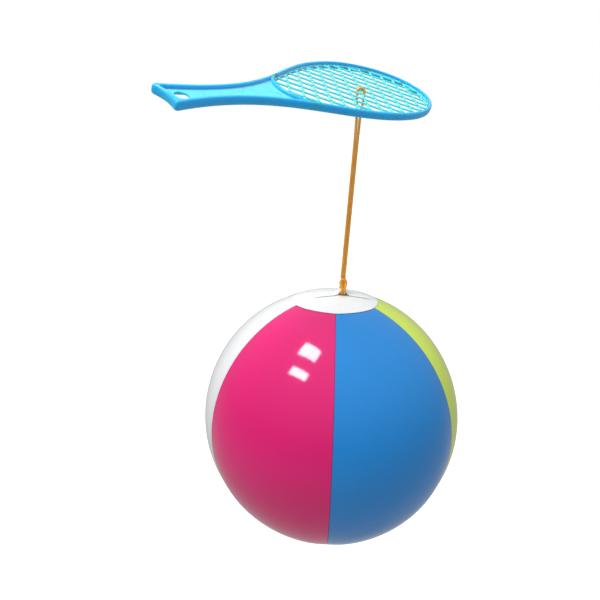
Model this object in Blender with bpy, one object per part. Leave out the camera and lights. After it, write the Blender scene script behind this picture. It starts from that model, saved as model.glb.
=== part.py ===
"""Toy racket with a beach ball on a rubber band, in metres, +Z up.

The racket is held by its handle and leans towards the player's near side. A loop of
rubber band hangs from one strand of the net, and an inflated ball hangs from the loop
by a strap across its top patch. The origin is on the handle's upper panel, where the
hand closes on it, and +X runs along the racket towards its tip.
"""

import math

import bmesh
import bpy
import numpy as np
from mathutils import Matrix, Vector

MM = 0.001

# Racket outline: half an ellipse for the head, a long curve down to the handle.
RACKET_LENGTH = 289.5 * MM
HEAD_HALF_LENGTH = 72.5 * MM
HEAD_HALF_WIDTH = 51.5 * MM
SHOULDER_PULL = 81 * MM
GRIP_PULL = 113 * MM
GRIP_FLARE = math.radians(10.4)
BUTT_HALF_WIDTH = 14 * MM
BUTT_DIP = 2.6 * MM
BUTT_CORNER = 1.8 * MM

# Racket section: rims stand up from a web on both faces.
RACKET_THICKNESS = 6.4 * MM
EDGE_ROUND = 1.3 * MM
HEAD_RIM = 2.8 * MM
GRIP_RIM = 2.8 * MM
BUTT_RIM = 2.6 * MM
NECK_RADIUS = 26.2 * MM
DIVIDER_WIDTH = 2.7 * MM
POCKET_CORNER = 1.5 * MM
WEB_THICKNESS = 1.4 * MM
HANG_HOLE_RADIUS = 5.1 * MM
HANG_HOLE_PLACE = 15 * MM
GRIP_PLACE = 61.5 * MM

# Net: two families of strands that cross in diamonds.
NET_PITCH_LONG = 14.7 * MM
NET_PITCH_WIDE = 17.3 * MM
NET_HOLE_PLACE = 197.3 * MM
NET_STRAND = 1.6 * MM
NET_THICKNESS = 1.5 * MM
NET_DRAFT = 0.25 * MM
NET_EDGE = 1.3 * MM
NET_LEAST_HOLE = 14 * MM * MM

# How the racket is held: tip up a little, far side up.
HOLD_PITCH = math.radians(5.006)
HOLD_ROLL = math.radians(22.754)

# Rubber band: a loop over one net strand, two strands, a hitch round the strap.
BAND_DIAMETER = 2.3 * MM
LOOP_CLEARANCE = 0.9 * MM
LOOP_LEG = 5 * MM
BAND_DROP = 177.75 * MM
BAND_MEETS = 76 * MM
BAND_CLOSING = 8 * MM
BAND_CLEARANCE = 0.35 * MM
HITCH_HEIGHT = 16.5 * MM
HITCH_SPREAD = 2.1 * MM
HITCH_RUN_HEIGHT = 2.3 * MM

# Ball: six gores with welded inside fins, a round patch at each end.
BALL_RADIUS = 122.5 * MM
BALL_HALF_HEIGHT = 122.5 * MM
BALL_LEAN = math.radians(2.767)
BALL_LEAN_TOWARDS = math.radians(114.34)
FIRST_SEAM = math.radians(218.56)
SEAM_SPREAD = math.radians(3.18)
GORE_COLOURS = {
    "gore_blue": (0.02, 0.30, 0.83),
    "gore_lime": (0.60, 0.83, 0.13),
    "gore_blue_back": (0.02, 0.30, 0.83),
    "gore_pink_back": (0.85, 0.03, 0.28),
    "gore_white": (0.86, 0.87, 0.88),
    "gore_pink": (0.85, 0.03, 0.28),
}
FILM = 0.3 * MM
SEAM_FIN = 5 * MM
SEAM_DIP = 0.8 * MM
GORE_END_RADIUS = 12 * MM
PATCH_RADIUS = 40 * MM
GORE_STEPS = 7
GORE_ROWS = 8

# Strap: a strip welded to the top patch at both ends, lifted in the middle.
STRAP_LENGTH = 52 * MM
STRAP_WIDTH = 14 * MM
STRAP_WAIST = 9 * MM
STRAP_THICKNESS = 0.5 * MM
STRAP_LIFT_HALF = 15 * MM

# Valve in the bottom patch.
STEM_RADIUS = 5.5 * MM
STEM_BORE = 3.2 * MM
STEM_LENGTH = 15 * MM
STEM_BEAD = 1.1 * MM
LIP_RADIUS = 8.5 * MM
LIP_THICKNESS = 1.0 * MM
FLANGE_RADIUS = 13 * MM
FLANGE_THICKNESS = 0.8 * MM
PLUG_LENGTH = 7 * MM
PLUG_HEAD_RADIUS = 6 * MM
PLUG_HEAD_THICKNESS = 1.2 * MM
TURNED_STEPS = 24

# Touching pieces keep this gap.
GAP = 0.3 * MM


def material(name, colour, roughness):
    """A plain Principled material."""
    made = bpy.data.materials.new(name)
    made.use_nodes = True
    shader = made.node_tree.nodes["Principled BSDF"]
    shader.inputs["Base Color"].default_value = (*colour, 1)
    shader.inputs["Roughness"].default_value = roughness
    return made


def empty(name, parent, matrix):
    """An empty at a world matrix, under its parent."""
    made = bpy.data.objects.new(name, None)
    made.empty_display_size = 0.01
    bpy.context.scene.collection.objects.link(made)
    return place(made, parent, matrix)


def place(obj, parent, matrix):
    """Parents an object and puts it at a world matrix."""
    if parent:
        obj.parent = parent
        obj.matrix_parent_inverse = parent.matrix_world.inverted()
    obj.matrix_basis = matrix
    bpy.context.view_layer.update()
    return obj


def solid(name, bm, finish, parent, matrix):
    """One node from a bmesh: faces out, shaded smooth, sharp at its edges."""
    bmesh.ops.recalc_face_normals(bm, faces=bm.faces)
    mesh = bpy.data.meshes.new(name)
    bm.to_mesh(mesh)
    bm.free()
    mesh.shade_smooth()
    mesh.set_sharp_from_angle(angle=math.radians(50))
    mesh.materials.append(finish)
    obj = bpy.data.objects.new(name, mesh)
    bpy.context.scene.collection.objects.link(obj)
    return place(obj, parent, matrix)


def ring(bm, points, z=None):
    """Vertices along a closed loop of 2D points at one height, or of 3D points."""
    if z is None:
        return [bm.verts.new(p) for p in points]
    return [bm.verts.new((x, y, z)) for x, y in points]


def strips(bm, rings):
    """Quads between each loop and the next."""
    for low, high in zip(rings, rings[1:]):
        for i in range(len(low)):
            j = (i + 1) % len(low)
            bm.faces.new((low[i], low[j], high[j], high[i]))


def fill(bm, loops):
    """Flat faces between an outer loop and the holes in it."""
    edges = []
    for loop in loops:
        for i, vert in enumerate(loop):
            edges.append(bm.edges.get((vert, loop[(i + 1) % len(loop)])))
    bmesh.ops.triangle_fill(bm, edges=edges, use_beauty=True)


def solve(value, low, high):
    """Where a steadily rising or falling function crosses zero."""
    rising = value(low) < value(high)
    for _ in range(60):
        middle = (low + high) / 2
        if (value(middle) < 0) == rising:
            low = middle
        else:
            high = middle
    return (low + high) / 2


# Racket outline in its own plane: x from the butt to the tip, y across.
HEAD_CENTRE = RACKET_LENGTH - HEAD_HALF_LENGTH
TAPER = (
    np.array([HEAD_CENTRE, HEAD_HALF_WIDTH]),
    np.array([HEAD_CENTRE - SHOULDER_PULL, HEAD_HALF_WIDTH]),
    np.array(
        [
            GRIP_PULL * math.cos(GRIP_FLARE),
            BUTT_HALF_WIDTH - GRIP_PULL * math.sin(GRIP_FLARE),
        ]
    ),
    np.array([0.0, BUTT_HALF_WIDTH]),
)


def side(s, inset=0.0):
    """Point and outward normal of the racket's upper half, from the tip to the butt.

    s runs from 0 to 1 round the head, then to 2 down the taper.
    """
    if s <= 1:
        turn = s * math.pi / 2
        point = np.array(
            [
                HEAD_CENTRE + HEAD_HALF_LENGTH * math.cos(turn),
                HEAD_HALF_WIDTH * math.sin(turn),
            ]
        )
        along = np.array(
            [-HEAD_HALF_LENGTH * math.sin(turn), HEAD_HALF_WIDTH * math.cos(turn)]
        )
    else:
        t = s - 1
        a, b, c, d = TAPER
        point = (1 - t) ** 3 * a + 3 * (1 - t) ** 2 * t * b
        point = point + 3 * (1 - t) * t**2 * c + t**3 * d
        along = (1 - t) ** 2 * (b - a) + 2 * (1 - t) * t * (c - b) + t**2 * (d - c)
    normal = np.array([along[1], -along[0]]) / np.linalg.norm(along)
    return point - inset * normal, normal


def side_run(start, end, inset, count):
    return [side(s, inset)[0] for s in np.linspace(start, end, count)]


def arc(centre, radius, start, end, count):
    turns = np.linspace(start, end, count)
    return [
        centre + radius * np.array([math.cos(turn), math.sin(turn)]) for turn in turns
    ]


def bearing(vector):
    """Direction of a 2D vector, from 0 to a full turn."""
    return math.atan2(vector[1], vector[0]) % (2 * math.pi)


def mirrored(half):
    """A closed loop from its upper half, whose two end points are on the axis."""
    lower = [p * np.array([1, -1]) for p in reversed(half[1:-1])]
    return np.array(half + lower)


def neck():
    """Where the circle that closes the head's opening meets the rim, and its centre."""

    def radius_left(s):
        point, normal = side(s, HEAD_RIM)
        return point[1] / normal[1] - NECK_RADIUS

    s = solve(radius_left, 1.0, 1.8)
    point, normal = side(s, HEAD_RIM)
    return s, np.array([point[0] - normal[0] * NECK_RADIUS, 0.0])


NECK_AT, NECK_CENTRE = neck()


# The butt is hollowed by a circle through its two corners.
BUTT_HOLLOW = (BUTT_HALF_WIDTH**2 + BUTT_DIP**2) / (2 * BUTT_DIP)
BUTT_CENTRE = np.array([BUTT_DIP - BUTT_HOLLOW, 0.0])


def butt_corner(inset, clear):
    """Where a point inset from the side is this clear of the butt's hollow."""

    def past_corner(s):
        reach = np.linalg.norm(side(s, inset)[0] - BUTT_CENTRE)
        return reach - BUTT_HOLLOW - clear

    return solve(past_corner, 1.6, 2.0)


def outline(inset):
    """The racket's outside, with a hollowed butt and rounded corners."""
    s = butt_corner(BUTT_CORNER, BUTT_CORNER)
    corner, normal = side(s, BUTT_CORNER)
    half = side_run(0, 1, inset, 19) + side_run(1, s, inset, 26)[1:]
    half += arc(
        corner,
        BUTT_CORNER - inset,
        bearing(normal),
        bearing(BUTT_CENTRE - corner),
        6,
    )[1:]
    half += arc(BUTT_CENTRE, BUTT_HOLLOW + inset, bearing(corner - BUTT_CENTRE), 0, 7)[1:]
    return mirrored(half)


def head_opening(grown):
    """The hole that the net fills, closed on the handle's side by the neck circle."""
    point, normal = side(NECK_AT, HEAD_RIM)
    half = side_run(0, 1, HEAD_RIM - grown, 19)
    half += side_run(1, NECK_AT, HEAD_RIM - grown, 16)[1:]
    half += arc(NECK_CENTRE, NECK_RADIUS + grown, bearing(normal), math.pi, 9)[1:]
    return mirrored(half)


def handle_pocket(grown):
    """The recess over the handle's web: two horns round the divider, hollow at the butt."""
    round_divider = NECK_RADIUS + DIVIDER_WIDTH
    inset = GRIP_RIM + POCKET_CORNER

    def past_horn(s):
        reach = np.linalg.norm(side(s, inset)[0] - NECK_CENTRE)
        return reach - round_divider - POCKET_CORNER

    horn_at = solve(past_horn, NECK_AT, 1.9)
    butt_at = butt_corner(inset, BUTT_RIM + POCKET_CORNER)
    horn, horn_normal = side(horn_at, inset)
    butt, butt_normal = side(butt_at, inset)
    half = arc(
        NECK_CENTRE,
        round_divider - grown,
        math.pi,
        bearing(horn - NECK_CENTRE),
        8,
    )
    towards = bearing(NECK_CENTRE - horn) - 2 * math.pi
    half += arc(horn, POCKET_CORNER + grown, towards, bearing(horn_normal), 7)[1:]
    half += side_run(horn_at, butt_at, GRIP_RIM - grown, 18)[1:]
    half += arc(
        butt,
        POCKET_CORNER + grown,
        bearing(butt_normal),
        bearing(BUTT_CENTRE - butt),
        5,
    )[1:]
    round_butt = BUTT_HOLLOW + BUTT_RIM - grown
    half += arc(BUTT_CENTRE, round_butt, bearing(butt - BUTT_CENTRE), 0, 6)[1:]
    return mirrored(half)


def rounded_rows(half_height):
    """Heights and insets of an edge rounded at the top and the bottom."""
    small = EDGE_ROUND * (1 - math.sqrt(0.5))
    upper = [
        (half_height - EDGE_ROUND, 0.0),
        (half_height - small, small),
        (half_height, EDGE_ROUND),
    ]
    return [(-z, inset) for z, inset in reversed(upper)] + upper


def make_racket_frame(parent, matrix):
    """Rim, divider and handle, with a recess over each face of the handle's web."""
    bm = bmesh.new()
    rows = rounded_rows(RACKET_THICKNESS / 2)
    outside = [ring(bm, outline(inset), z) for z, inset in rows]
    head = [ring(bm, head_opening(inset), z) for z, inset in rows]
    web = WEB_THICKNESS / 2
    pockets = []
    for face in (-1, 1):
        down = [(face * z, inset) for z, inset in reversed(rows[3:])]
        pocket = [ring(bm, handle_pocket(inset), z) for z, inset in down]
        pocket.append(ring(bm, handle_pocket(0.0), face * web))
        pockets.append(pocket)
    place_of_hole = np.array([HANG_HOLE_PLACE, 0.0])
    around = arc(place_of_hole, HANG_HOLE_RADIUS, 0, 2 * math.pi, 25)[:-1]
    hole = [ring(bm, around, -web), ring(bm, around, web)]
    for walls in (outside, head, *pockets, hole):
        strips(bm, walls)
    fill(bm, [outside[0], head[0], pockets[0][0]])
    fill(bm, [outside[-1], head[-1], pockets[1][0]])
    fill(bm, [pockets[0][-1], hole[0]])
    fill(bm, [pockets[1][-1], hole[1]])
    finish = material("racket_blue", (0.02, 0.33, 0.80), 0.3)
    return solid("racket_frame", bm, finish, parent, matrix)


def clipped(loop, normal, reach):
    """The part of a loop where its distance along a direction is under reach."""
    kept = []
    for i, p in enumerate(loop):
        q = loop[(i + 1) % len(loop)]
        at_p = p @ normal - reach
        at_q = q @ normal - reach
        if at_p <= 0:
            kept.append(p)
        if (at_p < 0) != (at_q < 0) and at_p != at_q:
            kept.append(p + (q - p) * at_p / (at_p - at_q))
    return kept


def grown_loop(loop, by):
    """A loop moved outwards by a distance, with mitred corners."""
    loop = np.array(loop)
    ahead = np.roll(loop, -1, axis=0) - loop
    ahead /= np.linalg.norm(ahead, axis=1)[:, None]
    out_after = np.stack([ahead[:, 1], -ahead[:, 0]], axis=1)
    out_before = np.roll(out_after, 1, axis=0)
    middle = out_after + out_before
    share = np.maximum(0.5 * (middle * middle).sum(axis=1), 0.5)
    return loop + by * middle / share[:, None]


def loop_area(loop):
    x, y = np.array(loop).T
    return 0.5 * float(np.sum(x * np.roll(y, -1) - y * np.roll(x, -1)))


def net_holes():
    """The diamonds between the strands, cut off short of the net's edge."""
    half_long = NET_PITCH_LONG / 2
    half_wide = NET_PITCH_WIDE / 2
    slope = np.array([1 / half_long, 1 / half_wide])
    steepness = np.linalg.norm(slope)
    border = head_opening(-GAP - NET_EDGE)
    reach = 1 / steepness - NET_STRAND / 2
    holes = []
    longs = int(RACKET_LENGTH / half_long)
    wides = int(HEAD_HALF_WIDTH / half_wide) + 1
    for i in range(-longs, longs + 1):
        for j in range(-wides, wides + 1):
            if (i + j) % 2:
                continue
            centre = np.array([NET_HOLE_PLACE + i * half_long, j * half_wide])
            loop = [p - centre for p in border]
            for sign in ((1, 1), (1, -1), (-1, -1), (-1, 1)):
                if loop:
                    loop = clipped(loop, slope * sign / steepness, reach)
            steps = [np.linalg.norm(p - loop[k - 1]) for k, p in enumerate(loop)]
            loop = [p for p, step in zip(loop, steps) if step > NET_DRAFT]
            if len(loop) > 2 and loop_area(loop) > NET_LEAST_HOLE:
                holes.append(np.array(loop) + centre)
    return holes


def make_racket_net(parent, matrix):
    """Strands that cross in diamonds and taper from their middle to both faces."""
    bm = bmesh.new()
    half = NET_THICKNESS / 2
    rows = [(-half, NET_DRAFT), (0.0, 0.0), (half, NET_DRAFT)]
    edge = [ring(bm, head_opening(-GAP), z) for z in (-half, half)]
    strips(bm, edge)
    lows = [edge[0]]
    highs = [edge[1]]
    for hole in net_holes():
        walls = [ring(bm, grown_loop(hole, grown), z) for z, grown in rows]
        strips(bm, walls)
        lows.append(walls[0])
        highs.append(walls[-1])
    fill(bm, lows)
    fill(bm, highs)
    finish = material("net_cyan", (0.07, 0.62, 0.93), 0.3)
    return solid("racket_net", bm, finish, parent, matrix)


def smooth_route(points, count):
    """Points of a smooth curve through a route, evenly spread along it."""
    knots = np.array(points, dtype=float)
    padded = np.vstack([2 * knots[0] - knots[1], knots, 2 * knots[-1] - knots[-2]])
    dense = []
    for a, b, c, d in zip(padded, padded[1:], padded[2:], padded[3:]):
        for t in np.linspace(0, 1, 24, endpoint=False):
            curve = 2 * b + (c - a) * t + (2 * a - 5 * b + 4 * c - d) * t**2
            dense.append(0.5 * (curve + (3 * b - a - 3 * c + d) * t**3))
    dense = np.vstack([dense, knots[-1]])
    length = np.linalg.norm(np.diff(dense, axis=0), axis=1)
    along = np.concatenate([[0], np.cumsum(length)])
    even = np.linspace(0, along[-1], count)
    return np.stack([np.interp(even, along, dense[:, k]) for k in range(3)], axis=1)


def band_tube(name, points, parent, matrix, finish, tip=None):
    """A round length of band through its points; tip gives the sizes of the first ones."""
    curve = bpy.data.curves.new(name, "CURVE")
    curve.dimensions = "3D"
    curve.bevel_depth = BAND_DIAMETER / 2
    curve.bevel_resolution = 2
    curve.use_fill_caps = True
    spline = curve.splines.new("POLY")
    spline.points.add(len(points) - 1)
    for i, (x, y, z) in enumerate(points):
        spline.points[i].co = (x, y, z, 1)
        if tip and i < len(tip):
            spline.points[i].radius = tip[i]
    curve.materials.append(finish)
    obj = bpy.data.objects.new(name, curve)
    bpy.context.scene.collection.objects.link(obj)
    return place(obj, parent, matrix)


def ball_point(lat, lon, out):
    """A point by latitude, longitude and distance from the skin, which dips at each seam.

    The seams are spread a little away from the first one, so the gores beside it are wider.
    """
    near_seam = ((1 + math.cos(len(GORE_COLOURS) * (lon - FIRST_SEAM))) / 2) ** 8
    out = out - SEAM_DIP * near_seam * math.cos(lat)
    flat = math.cos(lat) / BALL_RADIUS
    steep = math.sin(lat) / BALL_HALF_HEIGHT
    size = math.hypot(flat, steep)
    around = BALL_RADIUS * math.cos(lat) + out * flat / size
    up = BALL_HALF_HEIGHT * math.sin(lat) + out * steep / size
    turn = lon + SEAM_SPREAD * math.sin(lon - FIRST_SEAM)
    return (around * math.cos(turn), around * math.sin(turn), up)


def lat_at(radius):
    """Latitude where the ball has this radius round its axis."""
    return math.acos(radius / BALL_RADIUS)


PATCH_ROWS = [
    lat_at(GORE_END_RADIUS),
    lat_at((GORE_END_RADIUS + PATCH_RADIUS) / 2),
    lat_at(PATCH_RADIUS),
]


def gore_row(lat, start, end):
    """One cross-section of a gore: outer face, a fin turned in at each seam, inner face."""
    around = BALL_RADIUS * math.cos(lat)
    clear = GAP / 2 / around
    wall = clear + FILM / around
    outer = np.linspace(start, end, GORE_STEPS + 1)
    inner = list(outer[1:-1])
    outer[0] += clear
    outer[-1] -= clear
    row = [ball_point(lat, lon, 0) for lon in outer]
    row.append(ball_point(lat, end - clear, -SEAM_FIN))
    row.append(ball_point(lat, end - wall, -SEAM_FIN))
    row.append(ball_point(lat, end - wall, -FILM))
    row += [ball_point(lat, lon, -FILM) for lon in reversed(inner)]
    row.append(ball_point(lat, start + wall, -FILM))
    row.append(ball_point(lat, start + wall, -SEAM_FIN))
    row.append(ball_point(lat, start + clear, -SEAM_FIN))
    return row


def make_gore(name, colour, index, parent, matrix):
    """One panel of film from end to end of the ball."""
    step = 2 * math.pi / len(GORE_COLOURS)
    start = FIRST_SEAM + index * step
    upper = PATCH_ROWS[:-1] + list(np.linspace(PATCH_ROWS[-1], 0, GORE_ROWS // 2 + 3))
    lats = upper + [-lat for lat in reversed(upper[:-1])]
    bm = bmesh.new()
    rows = [ring(bm, gore_row(lat, start, start + step)) for lat in lats]
    strips(bm, rows)
    n = GORE_STEPS
    for row in (rows[0], rows[-1]):
        outer = row[: n + 1]
        inner = list(reversed(row[n + 3 : 2 * n + 4]))
        for i in range(n):
            bm.faces.new((outer[i], outer[i + 1], inner[i + 1], inner[i]))
        bm.faces.new((outer[n], row[n + 1], row[n + 2], inner[n]))
        bm.faces.new((outer[0], inner[0], row[-2], row[-1]))
    return solid(name, bm, material(name, colour, 0.12), parent, matrix)


def round_sheet(name, lats, low, high, finish, parent, matrix):
    """A sheet round one pole, between two distances from the skin, open if it starts off it."""
    count = len(GORE_COLOURS) * GORE_STEPS
    lons = FIRST_SEAM + np.arange(count) * 2 * math.pi / count
    bm = bmesh.new()
    faces = []
    for out in (low, high):
        rows = []
        for lat in lats:
            if abs(lat) < math.pi / 2 - 1e-6:
                rows.append(ring(bm, [ball_point(lat, lon, out) for lon in lons]))
        faces.append(rows)
        strips(bm, rows)
        if len(rows) < len(lats):
            pole = bm.verts.new(ball_point(lats[0], 0, out))
            for i in range(count):
                bm.faces.new((pole, rows[0][i], rows[0][(i + 1) % count]))
    strips(bm, [faces[0][-1], faces[1][-1]])
    if len(faces[0]) == len(lats):
        strips(bm, [faces[0][0], faces[1][0]])
    return solid(name, bm, finish, parent, matrix)


def turned(name, profile, colour, parent, matrix):
    """A piece turned round the ball's axis from (radius, height) points."""
    turns = [2 * math.pi * i / TURNED_STEPS for i in range(TURNED_STEPS)]
    bm = bmesh.new()
    rows = []
    for radius, z in profile:
        if radius > 0:
            around = [(radius * math.cos(turn), radius * math.sin(turn)) for turn in turns]
            rows.append(ring(bm, around, z))
    strips(bm, rows)
    if profile[0][0] > 0:
        strips(bm, [rows[-1], rows[0]])
    else:
        bm.faces.new(rows[0])
        bm.faces.new(rows[-1])
    return solid(name, bm, material(name, colour, 0.3), parent, matrix)


for old in list(bpy.data.objects):
    bpy.data.objects.remove(old, do_unlink=True)

# The racket, held by the handle: the origin is on the upper face of the web.
hold_turn = Matrix.Rotation(-HOLD_PITCH, 4, "Y") @ Matrix.Rotation(HOLD_ROLL, 4, "X")
hold = empty("hold", None, hold_turn)
racket_place = hold_turn @ Matrix.Translation((-GRIP_PLACE, 0, -WEB_THICKNESS / 2))
make_racket_frame(hold, racket_place)
make_racket_net(hold, racket_place)

# The net strand that carries the band: halfway between two crossings beside the axis.
tie_local = Vector(
    (NET_HOLE_PLACE + NET_PITCH_LONG / 4, -NET_PITCH_WIDE / 4, 0)
)
tie_at = racket_place @ tie_local
strand_way = hold_turn.to_3x3() @ Vector((NET_PITCH_LONG, NET_PITCH_WIDE, 0)).normalized()
right = strand_way.cross(Vector((0, 0, 1))).normalized()
away = Vector((0, 0, 1)).cross(right)
# In the band's own axes x is to the right, y away from the player and z up.
band_axes = Matrix((right, away, Vector((0, 0, 1)))).transposed().to_4x4()

rubber = material("band_amber", (0.62, 0.30, 0.05), 0.45)
half_band = BAND_DIAMETER / 2
strand_corner = math.hypot(NET_STRAND / 2 - NET_DRAFT, NET_THICKNESS / 2)
strand_reach = max(NET_STRAND / 2, strand_corner) / math.sqrt(1 - strand_way.z**2)
loop_radius = strand_reach + LOOP_CLEARANCE + half_band
tie = empty("tie", hold, Matrix.Translation(tie_at) @ band_axes)
loop_route = [(-loop_radius, 0, -LOOP_LEG), (-loop_radius, 0, -LOOP_LEG / 2)]
for turn in np.linspace(math.pi, 0, 13):
    loop_route.append((loop_radius * math.cos(turn), 0, loop_radius * math.sin(turn)))
loop_route += [(loop_radius, 0, -LOOP_LEG / 2), (loop_radius, 0, -LOOP_LEG)]
band_tube("band_top_loop", loop_route, tie, tie.matrix_world, rubber)

# Two strands hang from the loop's legs and come together. The swing turns on their tops.
strand_top = LOOP_LEG + GAP
swing_at = tie.matrix_world @ Matrix.Translation((0, 0, -strand_top - half_band))
swing = empty("swing", tie, swing_at)
run_apart = half_band + BAND_CLEARANCE / 2
upper_length = BAND_MEETS - strand_top
lower_top = BAND_MEETS + GAP
lower_length = BAND_DROP - HITCH_HEIGHT - GAP - lower_top
stretch = empty("stretch", swing, tie.matrix_world @ Matrix.Translation((0, 0, -lower_top)))
ROUND_TOP = ((0.0, 0.35), (0.3, 0.82), (1.0, 1.0))
for name, way in (("left", -1), ("right", 1)):
    upper = []
    for share, _ in ROUND_TOP:
        upper.append((way * loop_radius, 0, half_band * (1 - share)))
    for share in np.linspace(0, 1, 20)[1:] ** 1.7:
        depth = share * (upper_length - half_band)
        across = run_apart + (loop_radius - run_apart) * math.exp(-depth / BAND_CLOSING)
        upper.append((way * across, 0, -depth))
    sizes = [size for _, size in ROUND_TOP]
    band_tube("band_upper_" + name, upper, swing, swing_at, rubber, sizes)
    lower = [(way * run_apart, 0, -share * lower_length) for share in np.linspace(0, 1, 17)]
    band_tube("band_lower_" + name, lower, stretch, stretch.matrix_world, rubber)

# The hitch: both strands pass behind the strap, under it, and up into a bight that holds them.
strap_point = Matrix.Translation(tie_at - Vector((0, 0, BAND_DROP))) @ band_axes
twist = empty("twist", stretch, strap_point)
strap_reach = STRAP_WAIST / 2 + half_band + GAP
run_top = HITCH_RUN_HEIGHT + half_band
bight_front = -(BAND_DIAMETER + BAND_CLEARANCE)
HALF_HITCH = [
    (-run_apart, 0, HITCH_HEIGHT),
    (-run_apart, 0.1 * strap_reach, HITCH_HEIGHT - 1.6 * half_band),
    (-HITCH_SPREAD * 0.62, 0.25 * strap_reach, 0.62 * HITCH_HEIGHT),
    (-HITCH_SPREAD * 0.66, 1.12 * strap_reach, run_top + half_band),
    (-HITCH_SPREAD * 0.66, 0.9 * strap_reach, HITCH_RUN_HEIGHT + 0.3 * half_band),
    (-HITCH_SPREAD * 0.66, 0.4 * strap_reach, HITCH_RUN_HEIGHT),
    (-HITCH_SPREAD * 0.66, -0.4 * strap_reach, HITCH_RUN_HEIGHT),
    (-HITCH_SPREAD * 0.7, -0.95 * strap_reach, HITCH_RUN_HEIGHT + 0.3 * half_band),
    (-HITCH_SPREAD * 0.85, -1.15 * strap_reach, run_top + half_band),
    (-HITCH_SPREAD, -0.9 * strap_reach, 0.5 * HITCH_HEIGHT),
    (-HITCH_SPREAD * 0.85, bight_front - 0.8 * half_band, 0.72 * HITCH_HEIGHT),
    (-HITCH_SPREAD * 0.45, bight_front - 0.2 * half_band, 0.86 * HITCH_HEIGHT),
]
hitch_route = HALF_HITCH + [(0, bight_front, 0.89 * HITCH_HEIGHT)]
hitch_route += [(-x, y, z) for x, y, z in reversed(HALF_HITCH)]
band_tube("band_hitch", smooth_route(hitch_route, 50), twist, strap_point, rubber)

# The ball hangs straight under the tie and leans a little on its strap.
lean_axis = Vector((-math.sin(BALL_LEAN_TOWARDS), math.cos(BALL_LEAN_TOWARDS), 0))
lean = Matrix.Rotation(BALL_LEAN, 4, lean_axis)
up_in_ball = lean.to_3x3().transposed() @ Vector((0, 0, 1))
patch_out = GAP + FILM
crown = 1 / math.hypot(
    math.hypot(up_in_ball.x, up_in_ball.y) / BALL_RADIUS, up_in_ball.z / BALL_HALF_HEIGHT
)
strap_under = run_top + GAP
strap_pivot = strap_point @ Matrix.Translation((0, 0, strap_under + STRAP_THICKNESS / 2))
tilt = empty("tilt", twist, strap_pivot)
ball_at = tie_at - Vector((0, 0, BAND_DROP + crown + patch_out))
ball = empty("ball", tilt, Matrix.Translation(ball_at) @ lean)

for index, (name, colour) in enumerate(GORE_COLOURS.items()):
    make_gore(name, colour, index, ball, ball.matrix_world)
white = material("patch_white", (0.86, 0.87, 0.88), 0.15)
pole = math.pi / 2
round_sheet("top_patch", [pole, *PATCH_ROWS], GAP, patch_out, white, ball, ball.matrix_world)
valve_hole = lat_at(STEM_RADIUS + GAP)
low_rows = [-valve_hole, *(-lat for lat in PATCH_ROWS)]
round_sheet("bottom_patch", low_rows, GAP, patch_out, white, ball, ball.matrix_world)
flange_low = patch_out + GAP
flange_rows = [-valve_hole, -lat_at(FLANGE_RADIUS)]
round_sheet(
    "valve_flange",
    flange_rows,
    flange_low,
    flange_low + FLANGE_THICKNESS,
    white,
    ball,
    ball.matrix_world,
)


def strap_surface(s, t, out):
    """A point over the ball near its strap: s along the strap, t across it, out from the skin."""
    way = band_axes.to_3x3() @ Vector((s, t, 0))
    from_centre = lean.to_3x3().transposed() @ (Vector((0, 0, crown)) + way)
    flat = math.hypot(from_centre.x, from_centre.y) / BALL_RADIUS
    grown = 1 / math.hypot(flat, from_centre.z / BALL_HALF_HEIGHT)
    skin = from_centre * grown
    normal = Vector(
        (
            skin.x / BALL_RADIUS**2,
            skin.y / BALL_RADIUS**2,
            skin.z / BALL_HALF_HEIGHT**2,
        )
    )
    return skin + normal.normalized() * out


def make_tether_strap(parent, matrix):
    """A strip welded down at both ends, lifted and drawn in where the band passes under it."""
    lengths = np.linspace(-STRAP_LENGTH / 2, STRAP_LENGTH / 2, 29)
    bm = bmesh.new()
    sections = []
    for s in lengths:
        share = min(1.0, abs(s) / STRAP_LIFT_HALF)
        lifted = (1 + math.cos(math.pi * share**1.6)) / 2
        half = (STRAP_WIDTH + (STRAP_WAIST - STRAP_WIDTH) * lifted) / 2
        low = patch_out + GAP + (strap_under - GAP) * lifted
        section = [strap_surface(s, t, low) for t in (-half, 0, half)]
        section += [strap_surface(s, t, low + STRAP_THICKNESS) for t in (half, 0, -half)]
        sections.append(ring(bm, section))
    strips(bm, sections)
    bm.faces.new(sections[0])
    bm.faces.new(sections[-1])
    return solid("tether_strap", bm, white, parent, matrix)


make_tether_strap(ball, ball.matrix_world)

# The valve slides on the ball's axis, through the bottom patch; heights are along that axis.
flange_face = -(BALL_HALF_HEIGHT + flange_low + FLANGE_THICKNESS)
lip_seat = flange_face - GAP
lip_face = lip_seat - LIP_THICKNESS
stem_end = lip_face + STEM_LENGTH
bead_radius = STEM_RADIUS + STEM_BEAD
STEM_PROFILE = [
    (STEM_BORE, lip_face),
    (LIP_RADIUS, lip_face),
    (LIP_RADIUS, lip_seat),
    (STEM_RADIUS, lip_seat),
    (STEM_RADIUS, stem_end - 2 * STEM_BEAD),
    (bead_radius, stem_end - STEM_BEAD),
    (STEM_RADIUS, stem_end),
    (STEM_BORE, stem_end),
]
valve = empty("valve", ball, ball.matrix_world)
turned("valve_stem", STEM_PROFILE, (0.86, 0.87, 0.88), valve, ball.matrix_world)

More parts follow.
